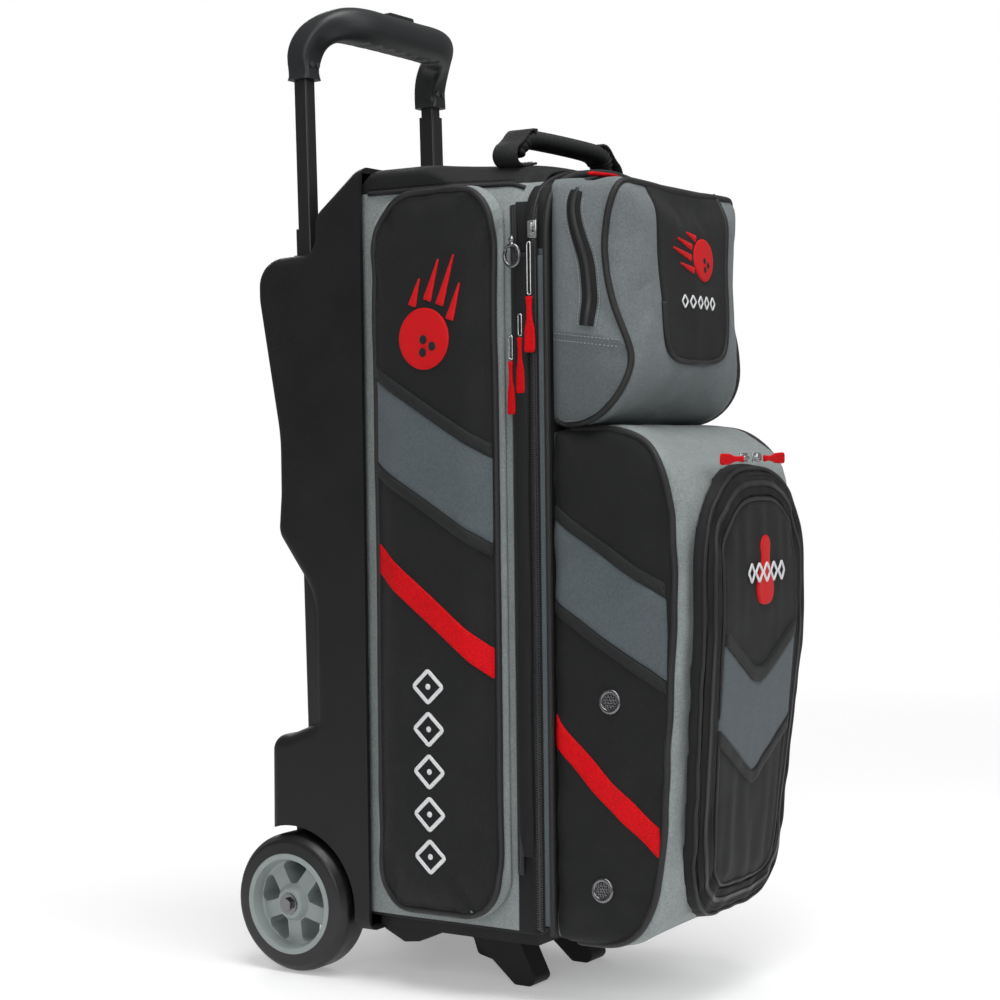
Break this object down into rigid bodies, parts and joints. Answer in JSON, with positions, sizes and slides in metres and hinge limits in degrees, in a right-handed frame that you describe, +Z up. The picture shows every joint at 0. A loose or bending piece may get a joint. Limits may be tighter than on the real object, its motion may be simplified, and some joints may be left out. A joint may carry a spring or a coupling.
{
  "type": "rolling bowling bag",
  "caption": "Upright wheeled bag for bowling balls with telescopic trolley handle, moulded back shell, hinged front door, shoe compartment, accessory pocket and padded side pockets.",
  "frame": {"origin": "on the floor under the middle of the bag's overall box", "axes": "+Z up, -Y is the front with the shoe and accessory pockets, +Y is the back with the shell, wheels and trolley handle, X runs from side pocket to side pocket along the wheel axle"},
  "size_m": [0.274, 0.475, 0.8871],
  "materials": {
    "moulded_plastic": "moulded, fine leathery grain",
    "tube_paint": "satin black coating on aluminium",
    "grip_plastic": "satin moulded",
    "dark_screw": "blackened",
    "steel": "turned",
    "tyre": "smooth, semi-gloss",
    "hub_grey": "moulded, satin",
    "black_fabric": "woven polyester, coarse weave",
    "grey_fabric": "woven polyester, fine weave",
    "ball_foam": "foam covered in brushed cloth",
    "soft_rubber": "moulded, ribbed",
    "bright_metal": "plated zinc",
    "dark_metal": "smoked plating",
    "red_webbing": "woven tape"
  },
  "bodies": {
    "root": {"axle": "steel", "axle_bolt_left": "dark_screw", "axle_bolt_right": "dark_screw", "back_shell": "moulded_plastic", "ball_cradle_1": "ball_foam", "ball_cradle_2": "ball_foam", "ball_cradle_3": "ball_foam", "ball_shelf_1": "ball_foam", "ball_shelf_2": "ball_foam", "base_tray": "moulded_plastic", "carry_anchors": "black_fabric", "carry_handle": "soft_rubber", "door_hinge_cord": "black_fabric", "foot_left": "moulded_plastic", "foot_right": "moulded_plastic", "main_compartment": "black_fabric", "outer_tube_left": "tube_paint", "outer_tube_right": "tube_paint", "side_pocket_left": "black_fabric", "side_pocket_right": "black_fabric", "wheel_spacer_left": "moulded_plastic", "wheel_spacer_right": "moulded_plastic"},
    "trolley": {"grip": "grip_plastic", "grip_screws": "dark_screw", "inner_tube_left": "tube_paint", "inner_tube_right": "tube_paint"},
    "middle_stage_left": {"middle_tube_left": "tube_paint"},
    "middle_stage_right": {"middle_tube_right": "tube_paint"},
    "release_button": {"grip_button": "grip_plastic"},
    "wheel_left": {"tyre_left": "tyre", "hub_left": "hub_grey"},
    "wheel_right": {"tyre_right": "tyre", "hub_right": "hub_grey"},
    "front_door": {"door_panel": "black_fabric", "shoe_compartment": "black_fabric", "front_flap": "black_fabric", "accessory_pocket": "grey_fabric", "vents": "bright_metal", "flap_slider_left": "bright_metal", "flap_slider_right": "bright_metal", "upper_slider": "bright_metal"},
    "main_pull": {"main_pull_link": "bright_metal", "main_pull_tab": "red_webbing"},
    "pocket_pull_upper": {"pocket_pull_upper_link": "bright_metal", "pocket_pull_upper_tab": "red_webbing"},
    "pocket_pull_lower": {"pocket_pull_lower_link": "bright_metal", "pocket_pull_lower_tab": "red_webbing"},
    "snap_hook": {"snap_hook": "dark_metal"},
    "main_slider": {"main_slider": "bright_metal"},
    "flap_pull_left": {"flap_pull_left": "red_webbing"},
    "flap_pull_right": {"flap_pull_right": "red_webbing"},
    "upper_pull": {"upper_pull": "red_webbing"}
  },
  "joints": [
    {"name": "trolley_slide", "type": "slide", "parent": "root", "child": "trolley", "axis": [0, 0.0192, 0.9998], "range_m": [-0.135, 0.14]},
    {"name": "middle_left_slide", "type": "slide", "parent": "root", "child": "middle_stage_left", "axis": [0, 0.0192, 0.9998], "range_m": [-0.0165, 0.017]},
    {"name": "middle_right_slide", "type": "slide", "parent": "root", "child": "middle_stage_right", "axis": [0, 0.0192, 0.9998], "range_m": [-0.136, 0.141]},
    {"name": "button_press", "type": "slide", "parent": "trolley", "child": "release_button", "axis": [0, -0.0192, -0.9998], "range_m": [0, 0.003], "stiffness_N_per_m": 900},
    {"name": "wheel_left_spin", "type": "hinge", "parent": "root", "child": "wheel_left", "pos_m": [-0.11, 0.174, 0.0635], "axis": [1, 0, 0], "continuous": true},
    {"name": "wheel_right_spin", "type": "hinge", "parent": "root", "child": "wheel_right", "pos_m": [0.11, 0.174, 0.0635], "axis": [1, 0, 0], "continuous": true},
    {"name": "door_hinge", "type": "hinge", "parent": "root", "child": "front_door", "pos_m": [0.1165, -0.08825, 0.4], "axis": [0, 0, 1], "range_deg": [0, 110]},
    {"name": "main_zip_slide", "type": "slide", "parent": "root", "child": "main_slider", "axis": [0, 0, -1], "range_m": [0, 0.5]},
    {"name": "main_pull_swing", "type": "hinge", "parent": "main_slider", "child": "main_pull", "pos_m": [-0.1235, -0.088, 0.6507], "axis": [0, 1, 0], "range_deg": [0, 85]},
    {"name": "pocket_pull_upper_swing", "type": "hinge", "parent": "root", "child": "pocket_pull_upper", "pos_m": [-0.1195, -0.076, 0.5907], "axis": [0, 1, 0], "range_deg": [0, 85]},
    {"name": "pocket_pull_lower_swing", "type": "hinge", "parent": "root", "child": "pocket_pull_lower", "pos_m": [-0.1195, -0.0665, 0.5727], "axis": [0, 1, 0], "range_deg": [0, 85]},
    {"name": "snap_hook_swing", "type": "hinge", "parent": "root", "child": "snap_hook", "pos_m": [-0.128, -0.074, 0.655], "axis": [0, 1, 0], "range_deg": [0, 60]},
    {"name": "flap_pull_left_swing", "type": "hinge", "parent": "front_door", "child": "flap_pull_left", "pos_m": [-0.022, -0.2354, 0.466], "axis": [0, 0, 1], "range_deg": [0, 80]},
    {"name": "flap_pull_right_swing", "type": "hinge", "parent": "front_door", "child": "flap_pull_right", "pos_m": [0.022, -0.2354, 0.466], "axis": [0, 0, 1], "range_deg": [-80, 0]},
    {"name": "upper_pull_swing", "type": "hinge", "parent": "front_door", "child": "upper_pull", "pos_m": [-0.0615, -0.1355, 0.7082], "axis": [0, 1, 0], "range_deg": [0, 85]}
  ],
  "couplings": [
    {"joint": "middle_left_slide", "follows": "trolley_slide", "ratio": 0.12},
    {"joint": "middle_right_slide", "follows": "trolley_slide", "ratio": 1}
  ]
}
